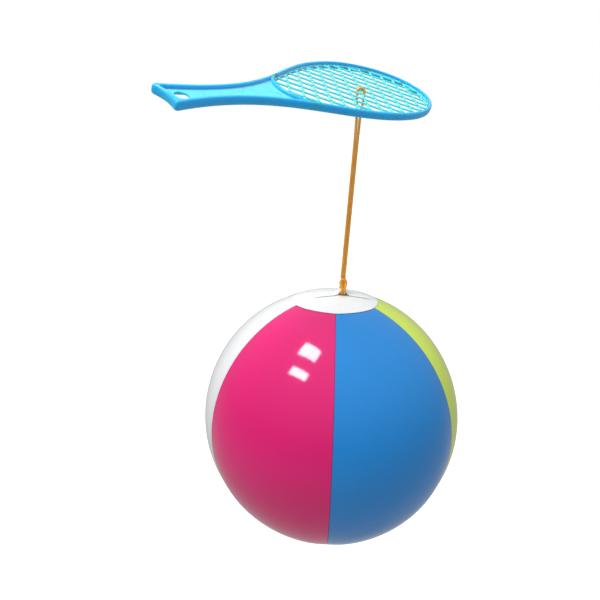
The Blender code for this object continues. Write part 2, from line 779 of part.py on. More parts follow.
plug_radius = STEM_BORE - GAP
head_seat = lip_face - GAP
plug_end = lip_face + PLUG_LENGTH
PLUG_PROFILE = [
    (0, head_seat - PLUG_HEAD_THICKNESS),
    (PLUG_HEAD_RADIUS, head_seat - PLUG_HEAD_THICKNESS),
    (PLUG_HEAD_RADIUS, head_seat),
    (plug_radius, head_seat),
    (plug_radius, plug_end - plug_radius / 2),
    (plug_radius / 2, plug_end),
    (0, plug_end),
]
plug = empty("plug", valve, ball.matrix_world)
turned("valve_plug", PLUG_PROFILE, (0.80, 0.82, 0.84), plug, ball.matrix_world)
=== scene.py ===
"""Toy racket with a beach ball on a rubber band: fine surfaces, finishes, light and camera.

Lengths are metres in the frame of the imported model. The racket's own plane has u from
the butt to the tip, v across and z out of its face. The ball's own axes start at its
centre, with the third one through its two patches.
"""

import bmesh
import bpy
import numpy as np
from mathutils import Matrix


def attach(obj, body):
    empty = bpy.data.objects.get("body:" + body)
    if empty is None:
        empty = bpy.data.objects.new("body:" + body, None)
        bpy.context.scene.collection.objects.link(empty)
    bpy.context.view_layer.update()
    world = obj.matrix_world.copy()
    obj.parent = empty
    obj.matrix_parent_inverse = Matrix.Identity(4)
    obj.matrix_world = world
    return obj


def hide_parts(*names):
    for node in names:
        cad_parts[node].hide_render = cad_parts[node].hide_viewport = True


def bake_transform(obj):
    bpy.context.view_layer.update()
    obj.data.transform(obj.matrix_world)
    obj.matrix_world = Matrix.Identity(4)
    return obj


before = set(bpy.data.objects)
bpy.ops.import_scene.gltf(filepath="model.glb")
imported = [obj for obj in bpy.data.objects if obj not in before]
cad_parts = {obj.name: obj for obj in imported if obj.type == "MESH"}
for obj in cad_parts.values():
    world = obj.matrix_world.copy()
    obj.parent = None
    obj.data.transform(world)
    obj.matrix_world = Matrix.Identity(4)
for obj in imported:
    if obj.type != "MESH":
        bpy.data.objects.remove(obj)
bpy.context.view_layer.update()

MM = 0.001
PI = np.pi

# Racket plan and section, as in the solids, but for the net's fuller strands.
RACKET_LENGTH = 289.5 * MM
HEAD_HALF = np.array([72.5, 51.5]) * MM
SHOULDER_PULL, GRIP_PULL, GRIP_FLARE = 81 * MM, 113 * MM, np.radians(10.4)
BUTT_HALF, BUTT_DIP, BUTT_CORNER = 14 * MM, 2.6 * MM, 1.8 * MM
HALF_THICK, RIM_WIDTH, BUTT_RIM = 3.2 * MM, 2.8 * MM, 2.6 * MM
NECK_RADIUS, DIVIDER_WIDTH, POCKET_CORNER = 26.2 * MM, 2.7 * MM, 1.5 * MM
HALF_WEB, HANG_RADIUS, HANG_PLACE, GRIP_PLACE = 0.7 * MM, 5.1 * MM, 15 * MM, 61.5 * MM
NET_STEP = np.array([7.35, 8.65]) * MM
NET_START = 197.3 * MM
NET_HALF_WIDE, NET_HALF_THICK, NET_EDGE = 0.95 * MM, 0.75 * MM, 1.3 * MM
HOLD_PITCH, HOLD_ROLL = np.radians(5.006), np.radians(22.754)

# Width and height of each rounded edge of the racket.
RIM_ROUND, RIM_LIP = np.array([1.7, 2.3]) * MM, np.array([0.5, 0.7]) * MM
DIVIDER_ROUND, LEDGE_ROUND = np.array([1.2, 1.3]) * MM, np.array([0.5, 0.5]) * MM
ROUND_STEPS = 8

# Where the racket's surfaces meet. The divider starts at an angle past the neck and lies a little
# lower than the rim. The web ends inside its bars, at shares of their widths: from the outer edge
# in the rim and the butt, from the net's side in the divider. The net reaches into the rim.
DIVIDER_START, DIVIDER_LOWER = 0.02, 0.01 * MM
WEB_IN_RIM, WEB_IN_BUTT, WEB_IN_DIVIDER = 0.6, 0.25, 0.5
NET_INTO_RIM, LEDGE_HALF_THICK = 0.6 * MM, 0.96 * NET_HALF_THICK

# Numbers of points along the racket's lines; a power crowds the web's fan towards the hang hole.
HEAD_POINTS, SIDE_POINTS, CORNER_POINTS, HOLLOW_POINTS = 64, 110, 12, 16
OPENING_POINTS, NECK_POINTS, DIVIDER_POINTS, EDGE_POINTS = 90, 24, 90, 1500
WEB_LINES, WEB_RUN, WEB_FAN, FAN_CROWDING = 25, 40, 7, 1.5

# Net strands: the width between crossings and what a crossing adds, as shares, and how far along
# that reaches; the section's sides and bluntness. One family is thicker by the stagger and the
# other thinner, so that no two faces coincide. Odd numbers from the net's start name the strands.
# A fine row of points along each finds what lies in the opening, and too short a row is left out.
STRAND_WAIST, CROSSING_GAIN, CROSSING_REACH = 0.92, 0.42, 1.4 * MM
STRAND_SIDES, STRAND_BLUNTNESS, STRAND_STEP, STRAND_STAGGER = 14, 0.65, 0.9 * MM, 0.012 * MM
FARTHEST_STRAND, SEARCH_HALF, SEARCH_POINTS, SHORTEST_STRAND = 21, 120 * MM, 2401, 60

# Rubber band, in axes with x to the right, y to the back and z up from the tie. The loop over the
# net keeps its shape a little way down and bends from there to just above its lower ends.
BAND_RADIUS, BAND_SIDES = 1.15 * MM, 20
LOOP_RADIUS, SWING_DROP, BAND_CLOSING = 3.0429 * MM, 6.45 * MM, 8 * MM
BAND_MEETS, BAND_APART, BAND_DROP = 76 * MM, 1.2 * MM, 177.75 * MM
SHARED_TOP, LOOP_HOLDS, LOOP_EASES = 22 * MM, 3 * MM, 1 * MM
HITCH_HEIGHT, HITCH_SPREAD, HITCH_RUN = 16.5 * MM, 2.1 * MM, 2.3 * MM
HITCH_LEAN, BAND_CLEARANCE = 1.3 * MM, 0.35 * MM
HITCH_POINTS, HITCH_EXIT = 150, 60

# Ball.
BALL_RADIUS, BALL_HALF_HEIGHT = 122.5 * MM, 122.5 * MM
BALL_LEAN, BALL_LEAN_TOWARDS = np.radians(2.767), np.radians(114.34)
FIRST_SEAM, SEAM_SPREAD, GORES = np.radians(218.56), np.radians(3.18), 6
FILM, GAP, SEAM_FIN, SEAM_DIP, SEAM_SHARPNESS = 0.3 * MM, 0.3 * MM, 5 * MM, 0.8 * MM, 8
GORE_END, GORE_ROWS, GORE_COLUMNS = 12 * MM, 150, 44

# Puckers along the welds: height, reach, share at the middle of the ball, share added towards
# its poles, and for each wave its radians a millimetre, its shift from seam to seam and its weight.
PUCKER_HEIGHT, PUCKER_REACH, PUCKER_MIDDLE, PUCKER_POLES = 0.05 * MM, 7 * MM, 0.35, 1.1
PUCKER_WAVES = ((0.9, 1.7, 1.0), (1.63, 2.9, 0.7), (2.71, 0.6, 0.5))

# Patches and the valve's flange: a soft edge, a weld line inside it, a slightly uneven outline.
PATCH_RADIUS, PATCH_EDGE, PATCH_ROWS, PATCH_TURNS = 40 * MM, 0.25 * MM, 46, 180
WELD_DEPTH, WELD_INSET, WELD_HALF = 0.1 * MM, 3.2 * MM, 0.9 * MM
UNEVEN_FROM, UNEVEN_OVER = 25 * MM, 14 * MM
VALVE_HOLE, FLANGE_RADIUS = 5.8 * MM, 13 * MM
FLANGE_LOW, FLANGE_HIGH = 0.9 * MM, 1.7 * MM

# Strap: its lift over the band, its section's bluntness, and the bars pressed into its ends.
STRAP_LENGTH, STRAP_WIDTH, STRAP_WAIST, STRAP_THICK = 52 * MM, 14 * MM, 9 * MM, 0.5 * MM
STRAP_LIFT_HALF, STRAP_LIFT_POWER, STRAP_OVER_BAND = 10 * MM, 1.6, 3.9 * MM
STRAP_FLATNESS, STRAP_SOFTNESS = 0.35, 0.6
BARS_FROM, BARS_OVER, BAR_DEPTH, BAR_PITCH = 15 * MM, 2 * MM, 0.12 * MM, 2.4 * MM


def unit(vector):
    """A vector divided by its own length."""
    return vector / np.linalg.norm(vector)


def turn_about(axis, angle):
    """Rotation matrix about an axis.

    The identity, plus sine times the cross-product matrix, plus one less cosine times its square.
    """
    x, y, z = unit(np.asarray(axis, float))
    cross = np.array([[0, -z, y], [z, 0, -x], [-y, x, 0]])
    return np.eye(3) + np.sin(angle) * cross + (1 - np.cos(angle)) * cross @ cross


# Axes as columns, and origins, of the racket, the band and the ball.
RACKET_AXES = turn_about((0, 1, 0), -HOLD_PITCH) @ turn_about((1, 0, 0), HOLD_ROLL)
RACKET_AT = RACKET_AXES @ np.array([-GRIP_PLACE, 0, -HALF_WEB])
TIE = RACKET_AT + RACKET_AXES @ np.array([NET_START + NET_STEP[0] / 2, -0.5 * NET_STEP[1], 0])
STRAND_WAY = RACKET_AXES @ unit(np.array([NET_STEP[0], NET_STEP[1], 0]))
UP = np.array([0.0, 0.0, 1.0])
BAND_X = unit(np.cross(STRAND_WAY, UP))
BAND_AXES = np.stack([BAND_X, np.cross(UP, BAND_X), UP], axis=1)
LEAN_AXIS = (-np.sin(BALL_LEAN_TOWARDS), np.cos(BALL_LEAN_TOWARDS), 0)
BALL_AXES = turn_about(LEAN_AXIS, BALL_LEAN)
UP_IN_BALL = BALL_AXES.T @ UP
BALL_SIZE = np.array([BALL_RADIUS, BALL_RADIUS, BALL_HALF_HEIGHT])
CROWN = 1 / np.linalg.norm(UP_IN_BALL / BALL_SIZE)
BALL_AT = TIE - UP * (BAND_DROP + CROWN + GAP + FILM)


def in_racket(points):
    """Points of the racket's axes in the frame: turned by them and moved to their origin."""
    return RACKET_AT + points @ RACKET_AXES.T


def in_band(points):
    """Points of the band's axes in the frame, from the tie."""
    return TIE + points @ BAND_AXES.T


def in_ball(points):
    """Points of the ball's axes in the frame, from its centre."""
    return BALL_AT + points @ BALL_AXES.T


# Mesh making.
def grid_faces(rows, columns, close_rows=False, close_columns=False):
    """Quads of a grid of points numbered row by row.

    A closed way joins its last line to its first.
    """
    index = np.arange(rows * columns).reshape(rows, columns)
    if close_rows:
        index = np.vstack([index, index[:1]])
    if close_columns:
        index = np.hstack([index, index[:, :1]])
    corners = (index[:-1, :-1], index[1:, :-1], index[1:, 1:], index[:-1, 1:])
    return np.stack(corners, axis=-1).reshape(-1, 4).tolist()


def piece(name, points, faces, material, merge=0.0, sharp=40):
    """One object at the origin from its points and faces, with outward faces.

    Points nearer than merge become one. It is smooth but for edges above the sharp angle.
    """
    mesh = bpy.data.meshes.new(name)
    mesh.from_pydata(np.asarray(points).reshape(-1, 3).tolist(), [], faces)
    bm = bmesh.new()
    bm.from_mesh(mesh)
    if merge:
        bmesh.ops.remove_doubles(bm, verts=bm.verts, dist=merge)
    bmesh.ops.recalc_face_normals(bm, faces=bm.faces)
    bm.to_mesh(mesh)
    bm.free()
    mesh.shade_smooth()
    mesh.set_sharp_from_angle(angle=np.radians(sharp))
    mesh.materials.append(material)
    made = bpy.data.objects.new(name, mesh)
    bpy.context.scene.collection.objects.link(made)
    return made


def swept(sections, closed_path):
    """Points and faces of a closed profile carried along a path, a row of points a station.

    An open path gets a flat face at each end.
    """
    rows, columns = sections.shape[:2]
    faces = grid_faces(rows, columns, close_rows=closed_path, close_columns=True)
    if not closed_path:
        faces.append(list(range(columns)))
        faces.append(list(range((rows - 1) * columns, rows * columns)))
    return sections.reshape(-1, 3), faces


def joined(parts):
    """Several point and face lists as one."""
    points, faces, start = [], [], 0
    for some_points, some_faces in parts:
        points.append(np.asarray(some_points).reshape(-1, 3))
        faces += [[i + start for i in face] for face in some_faces]
        start += len(points[-1])
    return np.concatenate(points), faces


def smooth_path(points, count):
    """A smooth curve through its points, resampled at even steps of its length.

    Cubic pieces run from point to point, and each point's slope is that between its neighbours.
    """
    knots = np.asarray(points, float)
    padded = np.vstack([2 * knots[0] - knots[1], knots, 2 * knots[-1] - knots[-2]])
    a, b, c, d = (padded[i : len(padded) - 3 + i, None] for i in range(4))
    t = np.linspace(0, 1, 40, endpoint=False)[None, :, None]
    curve = 2 * b + (c - a) * t + (2 * a - 5 * b + 4 * c - d) * t**2
    dense = 0.5 * (curve + (3 * b - a - 3 * c + d) * t**3)
    dense = np.vstack([dense.reshape(-1, 3), knots[-1]])
    along = np.concatenate([[0], np.cumsum(np.linalg.norm(np.diff(dense, axis=0), axis=1))])
    even = np.linspace(0, along[-1], count)
    return np.stack([np.interp(even, along, dense[:, k]) for k in range(3)], axis=1)


def band_tube(path):
    """The band's round section carried along a path; its frame turns as little as it can."""
    way = np.gradient(path, axis=0)
    way /= np.linalg.norm(way, axis=1)[:, None]
    first = np.cross(way[0], BAND_AXES[:, 1])
    if np.linalg.norm(first) < 0.2:
        first = np.cross(way[0], BAND_AXES[:, 0])
    normals = [unit(first)]
    for step in way[1:]:
        normals.append(unit(normals[-1] - step * (normals[-1] @ step)))
    normals = np.array(normals)
    sideways = np.cross(way, normals)
    turn = np.linspace(0, 2 * PI, BAND_SIDES, endpoint=False)
    ring = normals[:, None] * np.cos(turn)[None, :, None]
    ring = ring + sideways[:, None] * np.sin(turn)[None, :, None]
    return path[:, None] + ring * BAND_RADIUS


def blunt(value, power):
    """A cosine or sine raised to a power below one, its sign kept: it fills a section's corners."""
    return np.sign(value) * np.abs(value) ** power


# Finishes.
PLASTIC_IOR, LIGHT_ENTERS, LEAST_REACH = 1.53, 0.85, 0.15
WEAR_LOW, WEAR_HIGH = 0.2, 0.6
BUMP_SCALE, BUMP_HEIGHT = 420.0, 0.05 * MM


def value_group(name, inputs, output, build):
    """A shader node group with number inputs and one number output."""
    group = bpy.data.node_groups.new(name, "ShaderNodeTree")
    for label, default in inputs.items():
        socket = group.interface.new_socket(label, in_out="INPUT", socket_type="NodeSocketFloat")
        socket.default_value = default
    group.interface.new_socket(output, in_out="OUTPUT", socket_type="NodeSocketFloat")
    source = group.nodes.new("NodeGroupInput")
    target = group.nodes.new("NodeGroupOutput")
    group.links.new(build(group, source), target.inputs[0])
    return group


def add_math(tree, operation, first, second):
    """The output of a Math node that is fed by numbers or by sockets."""
    node = tree.nodes.new("ShaderNodeMath")
    node.operation = operation
    for socket, value in zip(node.inputs, (first, second)):
        if isinstance(value, (int, float)):
            socket.default_value = value
        else:
            tree.links.new(value, socket)
    return node.outputs[0]


def add_noise(tree, coordinate, scale, detail, squeeze=(1, 1, 1)):
    """Noise in Object coordinates, in cycles per metre; squeeze packs it closer along an axis."""
    mapping = tree.nodes.new("ShaderNodeMapping")
    mapping.inputs["Scale"].default_value = squeeze
    tree.links.new(coordinate, mapping.inputs["Vector"])
    noise = tree.nodes.new("ShaderNodeTexNoise")
    noise.inputs["Detail"].default_value = detail
    tree.links.new(mapping.outputs[0], noise.inputs["Vector"])
    if isinstance(scale, (int, float)):
        noise.inputs["Scale"].default_value = scale
    else:
        tree.links.new(scale, noise.inputs["Scale"])
    return noise.outputs["Fac"]


def handled_value(group, source):
    """What handling leaves on smooth plastic: fine hairline scuffs over slow cloudiness.

    It is the cube of a squeezed noise, times the amount, plus half of a cloudy noise.
    """
    place = group.nodes.new("ShaderNodeTexCoord").outputs["Object"]
    cloud = add_noise(group, place, source.outputs["Cloud scale"], 2.0)
    scuff = add_noise(group, place, source.outputs["Scuff scale"], 6.0, (1, 6, 1))
    sharp = add_math(group, "POWER", scuff, 3.0)
    both = add_math(group, "MULTIPLY", sharp, source.outputs["Scuff amount"])
    return add_math(group, "ADD", both, add_math(group, "MULTIPLY", cloud, 0.5))


HANDLED = value_group(
    "handled",
    {"Cloud scale": 30.0, "Scuff scale": 300.0, "Scuff amount": 0.8},
    "Value",
    handled_value,
)


def finish(name, colour, rough, spread, cloud, scuff, bump=0.0, vary=0.06, depth=0.0):
    """A Principled finish whose colour and gloss vary with the handled group.

    It may have a fine bump, and a depth to which light enters it, as in thin plastic or rubber.
    """
    made = bpy.data.materials.new(name)
    made.use_nodes = True
    tree = made.node_tree
    shader = tree.nodes["Principled BSDF"]
    group = tree.nodes.new("ShaderNodeGroup")
    group.node_tree = HANDLED
    group.inputs["Cloud scale"].default_value = cloud
    group.inputs["Scuff scale"].default_value = scuff
    ramp = tree.nodes.new("ShaderNodeMapRange")
    ramp.inputs["From Min"].default_value = WEAR_LOW
    ramp.inputs["From Max"].default_value = WEAR_HIGH
    ramp.inputs["To Min"].default_value = rough
    ramp.inputs["To Max"].default_value = rough + spread
    tree.links.new(group.outputs["Value"], ramp.inputs["Value"])
    tree.links.new(ramp.outputs["Result"], shader.inputs["Roughness"])
    mix = tree.nodes.new("ShaderNodeMix")
    mix.data_type = "RGBA"
    colour = np.array(colour)
    mix.inputs["A"].default_value = (*(colour * (1 - vary)), 1)
    mix.inputs["B"].default_value = (*np.minimum(colour * (1 + vary), 1), 1)
    tree.links.new(group.outputs["Value"], mix.inputs["Factor"])
    tree.links.new(mix.outputs["Result"], shader.inputs["Base Color"])
    if bump:
        place = tree.nodes.new("ShaderNodeTexCoord").outputs["Object"]
        height = add_noise(tree, place, BUMP_SCALE, 2.0)
        node = tree.nodes.new("ShaderNodeBump")
        node.inputs["Strength"].default_value = bump
        node.inputs["Distance"].default_value = BUMP_HEIGHT
        tree.links.new(height, node.inputs["Height"])
        tree.links.new(node.outputs["Normal"], shader.inputs["Normal"])
    shader.inputs["IOR"].default_value = PLASTIC_IOR
    if depth:
        reach = LEAST_REACH + (1 - LEAST_REACH) * colour
        shader.inputs["Subsurface Weight"].default_value = LIGHT_ENTERS
        shader.inputs["Subsurface Radius"].default_value = tuple(reach)
        shader.inputs["Subsurface Scale"].default_value = depth
    return made


THICK_PLASTIC = {"rough": 0.26, "spread": 0.14, "cloud": 40, "scuff": 500, "bump": 0.25}
THIN_PLASTIC = {"rough": 0.24, "spread": 0.12, "cloud": 60, "scuff": 700, "bump": 0.2}
RUBBER = {"rough": 0.32, "spread": 0.2, "cloud": 90, "scuff": 900, "bump": 0.4, "vary": 0.15}
DYED_FILM = {"rough": 0.06, "spread": 0.05, "cloud": 12, "scuff": 260}
WHITE_FILM = {"rough": 0.08, "spread": 0.06, "cloud": 12, "scuff": 260, "vary": 0.02}
PATCH_FILM = {"rough": 0.12, "spread": 0.1, "cloud": 25, "scuff": 300, "vary": 0.02}
SOFT_VINYL = {"rough": 0.22, "spread": 0.12, "cloud": 60, "scuff": 500, "bump": 0.2, "vary": 0.03}

# The web's and net's blues are lighter than the rim's. This is painted light, as if light shone
# through their thin plastic. The net's blue is lightest, painted light that lifts the shade on its
# strands' sides.
RACKET_BLUE = finish("racket_moulded_blue", (0.012, 0.52, 0.98), depth=5 * MM, **THICK_PLASTIC)
WEB_PAINTED_LIGHT_BLUE = finish("racket_web_painted_light_blue", (0.09, 0.75, 0.97), depth=1 * MM, **THIN_PLASTIC)
NET_PAINTED_LIGHT_BLUE = finish("racket_net_painted_light_blue", (0.10, 0.86, 0.95), depth=2 * MM, **THIN_PLASTIC)
AMBER = finish("band_amber_rubber", (0.93, 0.44, 0.03), depth=1 * MM, **RUBBER)
FILM_PINK = finish("film_pink", (0.77, 0.003, 0.172), **DYED_FILM)
FILM_BLUE = finish("film_blue", (0.003, 0.24, 0.68), **DYED_FILM)
FILM_LIME = finish("film_lime", (0.66, 0.84, 0.08), **DYED_FILM)
FILM_WHITE = finish("film_white", (0.84, 0.85, 0.86), **WHITE_FILM)
PATCH_WHITE = finish("patch_white", (0.90, 0.91, 0.92), **PATCH_FILM)
VALVE_MILKY = finish("valve_milky", (0.80, 0.82, 0.83), **SOFT_VINYL)


# Racket surfaces.
def side(s, inset=0.0):
    """Points and normals of the racket's edge on the +v side, moved inwards by inset.

    s from 0 to 1 is a quarter ellipse round the head; from 1 to 2 a cubic down to the butt.
    """
    s = np.atleast_1d(np.asarray(s, float))
    turn = np.minimum(s, 1) * PI / 2
    centre = RACKET_LENGTH - HEAD_HALF[0]
    round_head = np.stack(
        [centre + HEAD_HALF[0] * np.cos(turn), HEAD_HALF[1] * np.sin(turn)], axis=1
    )
    round_way = np.stack([-HEAD_HALF[0] * np.sin(turn), HEAD_HALF[1] * np.cos(turn)], axis=1)
    t = np.clip(s - 1, 0, None)[:, None]
    a = np.array([centre, HEAD_HALF[1]])
    b = a - (SHOULDER_PULL, 0)
    d = np.array([0, BUTT_HALF])
    c = d + GRIP_PULL * np.array([np.cos(GRIP_FLARE), -np.sin(GRIP_FLARE)])
    down = (1 - t) ** 3 * a + 3 * (1 - t) ** 2 * t * b + 3 * (1 - t) * t**2 * c + t**3 * d
    down_way = (1 - t) ** 2 * (b - a) + 2 * (1 - t) * t * (c - b) + t**2 * (d - c)
    on_head = (s <= 1)[:, None]
    point = np.where(on_head, round_head, down)
    way = np.where(on_head, round_way, down_way)
    normal = np.stack([way[:, 1], -way[:, 0]], axis=1)
    normal /= np.linalg.norm(normal, axis=1)[:, None]
    return point - np.reshape(inset, (-1, 1)) * normal, normal


def crossing(value, low, high):
    """Where a function of s changes sign, by halving."""
    for _ in range(50):
        middle = (low + high) / 2
        if (value(middle) < 0) == (value(low) < 0):
            low = middle
        else:
            high = middle
    return (low + high) / 2


def bearing(vector):
    """The angle of a vector in the racket's plane, from 0 to a full turn."""
    return np.arctan2(vector[1], vector[0]) % (2 * PI)


def arc(centre, radius, start, end, count):
    """Points on a circle at even steps of the angle, from start to end."""
    turn = np.linspace(start, end, count)
    return centre + radius * np.stack([np.cos(turn), np.sin(turn)], axis=1)


def whole(half):
    """A closed loop from its +v half, which starts and ends on the centre line."""
    return np.vstack([half, half[-2:0:-1] * (1, -1)])


def neck_gap(s):
    """The normal's length from the rim's inner line to the centre line, less the neck's radius."""
    point, normal = side(s, RIM_WIDTH)
    return point[0, 1] / normal[0, 1] - NECK_RADIUS


NECK_AT = crossing(neck_gap, 1.0, 1.8)
NECK_POINT, NECK_NORMAL = (x[0] for x in side(NECK_AT, RIM_WIDTH))
NECK_CENTRE = np.array([NECK_POINT[0] - NECK_NORMAL[0] * NECK_RADIUS, 0])
BUTT_HOLLOW = (BUTT_HALF**2 + BUTT_DIP**2) / (2 * BUTT_DIP)
HOLLOW_CENTRE = np.array([BUTT_DIP - BUTT_HOLLOW, 0])
ROUND_DIVIDER = NECK_RADIUS + DIVIDER_WIDTH


def corner_gap(s):
    """The gap between a corner's circle, set inside the edge, and the butt's hollow circle."""
    point = side(s, BUTT_CORNER)[0][0]
    return np.linalg.norm(point - HOLLOW_CENTRE) - BUTT_HOLLOW - BUTT_CORNER


def pocket_gap(s):
    """The same gap for the pocket's corner, set inside the rim, and the butt's inner line."""
    point = side(s, RIM_WIDTH + POCKET_CORNER)[0][0]
    return np.linalg.norm(point - HOLLOW_CENTRE) - BUTT_HOLLOW - BUTT_RIM - POCKET_CORNER


CORNER_AT = crossing(corner_gap, 1.7, 2.0)
POCKET_AT = crossing(pocket_gap, 1.6, 2.0)


def rounded_bar(outer, inner, half_thick, outer_round, inner_round):
    """Sections of a bar between two lines in the racket's plane, its long edges quarter ellipses.

    Each edge has a width and a height. Each point is a share of the way from the outer line to
    the inner one, plus an offset along that way, at a height. Where a bar is narrower than its
    two rounds, these are narrowed to fit.
    """
    turn = np.linspace(0, PI / 2, ROUND_STEPS)
    level = np.array([0.25, 0.75])
    near = outer_round[0] * (1 - np.cos(turn))
    far = inner_round[0] * (1 - np.cos(turn))
    rise = half_thick - outer_round[1] * (1 - np.sin(turn))
    fall = half_thick - inner_round[1] * (1 - np.sin(turn))
    share = np.concatenate([np.zeros(ROUND_STEPS), level, np.ones(ROUND_STEPS)])
    between = outer_round[0] * (1 - level) - inner_round[0] * level
    offset = np.concatenate([near, between, -far[::-1]])
    height = np.concatenate([rise, np.full(len(level), half_thick), fall[::-1]])
    share = np.concatenate([share, share[::-1]])
    offset = np.concatenate([offset, offset[::-1]])
    height = np.concatenate([height, -height[::-1]])
    across = inner - outer
    span = np.linalg.norm(across, axis=1)[:, None]
    room = np.minimum(1, 0.98 * span / (outer_round[0] + inner_round[0]))
    flat = outer[:, None] + across[:, None] * share[None, :, None]
    flat = flat + (across / span * room)[:, None] * offset[None, :, None]
    tall = np.broadcast_to(height[None, :, None], (*flat.shape[:2], 1))
    return np.concatenate([flat, tall], axis=2)


def rim_lines():
    """The rim's outer and inner lines, point for point, from the tip round to the butt and back."""
    head = np.linspace(0, 1, HEAD_POINTS)
    share = np.linspace(0, 1, SIDE_POINTS)[1:]
    outer_s = 1 + (CORNER_AT - 1) * share
    inner_s = 1 + (POCKET_AT - 1) * share
    corner, corner_normal = (x[0] for x in side(CORNER_AT, BUTT_CORNER))
    pocket, pocket_normal = (x[0] for x in side(POCKET_AT, RIM_WIDTH + POCKET_CORNER))
    start, end = bearing(corner_normal), bearing(HOLLOW_CENTRE - corner)
    outer = [side(head)[0], side(outer_s)[0]]
    outer.append(arc(corner, BUTT_CORNER, start, end, CORNER_POINTS)[1:])
    start = bearing(corner - HOLLOW_CENTRE)
    outer.append(arc(HOLLOW_CENTRE, BUTT_HOLLOW, start, 0, HOLLOW_POINTS)[1:])
    start, end = bearing(pocket_normal), bearing(HOLLOW_CENTRE - pocket)
    inner = [side(head, RIM_WIDTH)[0], side(inner_s, RIM_WIDTH)[0]]
    inner.append(arc(pocket, POCKET_CORNER, start, end, CORNER_POINTS)[1:])
    start = bearing(pocket - HOLLOW_CENTRE)
    inner.append(arc(HOLLOW_CENTRE, BUTT_HOLLOW + BUTT_RIM, start, 0, HOLLOW_POINTS)[1:])
    return whole(np.vstack(outer)), whole(np.vstack(inner))


def head_opening(grown):
    """The line round the net, moved outwards by grown: edge of the head, then the neck's circle."""
    head = np.linspace(0, 1, OPENING_POINTS)
    shoulder = np.linspace(1, NECK_AT, OPENING_POINTS // 2)[1:]
    edge, _ = side(np.concatenate([head, shoulder]), RIM_WIDTH - grown)
    around = arc(NECK_CENTRE, NECK_RADIUS + grown, bearing(NECK_NORMAL), PI, NECK_POINTS)[1:]
    return whole(np.vstack([edge, around]))


def divider_bound(turn):
    """How far from the neck's centre the divider may reach at each angle: to the rim's rounding.

    It is read from a fine table of the edge.
    """
    kept = side(np.linspace(1, 2, EDGE_POINTS), RIM_ROUND[0])[0] - NECK_CENTRE
    angle = np.arctan2(kept[:, 1], kept[:, 0])
    return np.interp(np.minimum(turn, 2 * PI - turn), angle, np.linalg.norm(kept, axis=1))


def make_moulding():
    """Rim and divider as rounded bars; the divider is an arc, cut back where it meets the rim."""
    outer, inner = rim_lines()
    rim = swept(rounded_bar(outer, inner, HALF_THICK, RIM_ROUND, RIM_LIP), True)
    low = bearing(NECK_NORMAL) + DIVIDER_START
    turn = np.linspace(low, 2 * PI - low, DIVIDER_POINTS)
    ray = np.stack([np.cos(turn), np.sin(turn)], axis=1)
    handle_side = NECK_CENTRE + ray * np.minimum(ROUND_DIVIDER, divider_bound(turn))[:, None]
    net_side = NECK_CENTRE + ray * NECK_RADIUS
    thin = HALF_THICK - DIVIDER_LOWER
    divider = swept(rounded_bar(handle_side, net_side, thin, DIVIDER_ROUND, DIVIDER_ROUND), False)
    points, faces = joined([rim, divider])
    made = piece("racket_rim", in_racket(points), faces, RACKET_BLUE, sharp=50)
    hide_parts("racket_frame")
    return made


def web_half_width(u):
    """Half the web's width at u, out to near the rim's middle, from a fine table of the edge."""
    s = np.linspace(1.2, 2.0, 400)[::-1]
    edge = side(s, RIM_WIDTH * WEB_IN_RIM)[0]
    return np.interp(u, edge[:, 0], edge[:, 1])


def make_web():
    """The handle's thin web: two faces, closed by a wall in the hang hole and round the edge.

    A face is a fan of lines from the hole's ring to a box round it, then strips that run on to
    the divider. Repeated half steps bring the strips' ends to its arc.
    """
    butt_end = BUTT_DIP + WEB_IN_BUTT * BUTT_RIM
    join_at = 2 * HANG_PLACE - butt_end
    across = np.linspace(-1, 1, WEB_LINES)
    near = np.linspace(join_at, butt_end, WEB_LINES)
    right = np.stack([np.full(WEB_LINES, join_at), across * web_half_width(join_at)], axis=1)
    top = np.stack([near, web_half_width(near)], axis=1)
    butt = np.stack([np.full(WEB_LINES, near[-1]), -across * web_half_width(near[-1])], axis=1)
    box = np.vstack([right[:-1], top[:-1], butt[:-1], top[::-1][:-1] * (1, -1)])
    turn = np.arctan2(box[:, 1], box[:, 0] - HANG_PLACE)
    ring = np.array([HANG_PLACE, 0]) + HANG_RADIUS * np.stack([np.cos(turn), np.sin(turn)], axis=1)
    share = np.linspace(0, 1, WEB_FAN)[:, None, None] ** FAN_CROWDING
    fan = ring + (box - ring) * share
    far = np.full(WEB_LINES, NECK_CENTRE[0] - NECK_RADIUS)
    end_radius = NECK_RADIUS + WEB_IN_DIVIDER * DIVIDER_WIDTH
    for _ in range(30):
        wide = across * web_half_width(far)
        reach = np.sqrt(np.maximum(end_radius**2 - wide**2, 0))
        far = 0.5 * far + 0.5 * (NECK_CENTRE[0] - reach)
    along = np.linspace(0, 1, WEB_RUN)[:, None]
    u = join_at + (far - join_at) * along
    run = np.stack([u, across * web_half_width(u)], axis=2)
    parts = []
    for face in (-1, 1):
        for flat, close in ((fan, True), (run, False)):
            tall = np.full((*flat.shape[:2], 1), face * HALF_WEB)
            grid = np.concatenate([flat, tall], axis=2)
            parts.append((grid, grid_faces(*flat.shape[:2], close_columns=close)))
    back = top[::-1] * (1, -1)
    edge = np.vstack([run[-1], run[-2::-1, -1], top[1:], butt[1:], back[1:], run[1:-1, 0]])
    for line in (ring, edge):
        ends = np.array([-HALF_WEB, HALF_WEB])
        tall = np.broadcast_to(ends[:, None, None], (2, len(line), 1))
        flat = np.broadcast_to(line[None], (2, *line.shape))
        grid = np.concatenate([flat, tall], axis=2)
        parts.append((grid, grid_faces(2, len(line), close_columns=True)))
    points, faces = joined(parts)
    # The web's finish carries painted light: a lighter blue than the rim's.
    return piece("racket_web", in_racket(points), faces, WEB_PAINTED_LIGHT_BLUE, 0.005 * MM, 50)


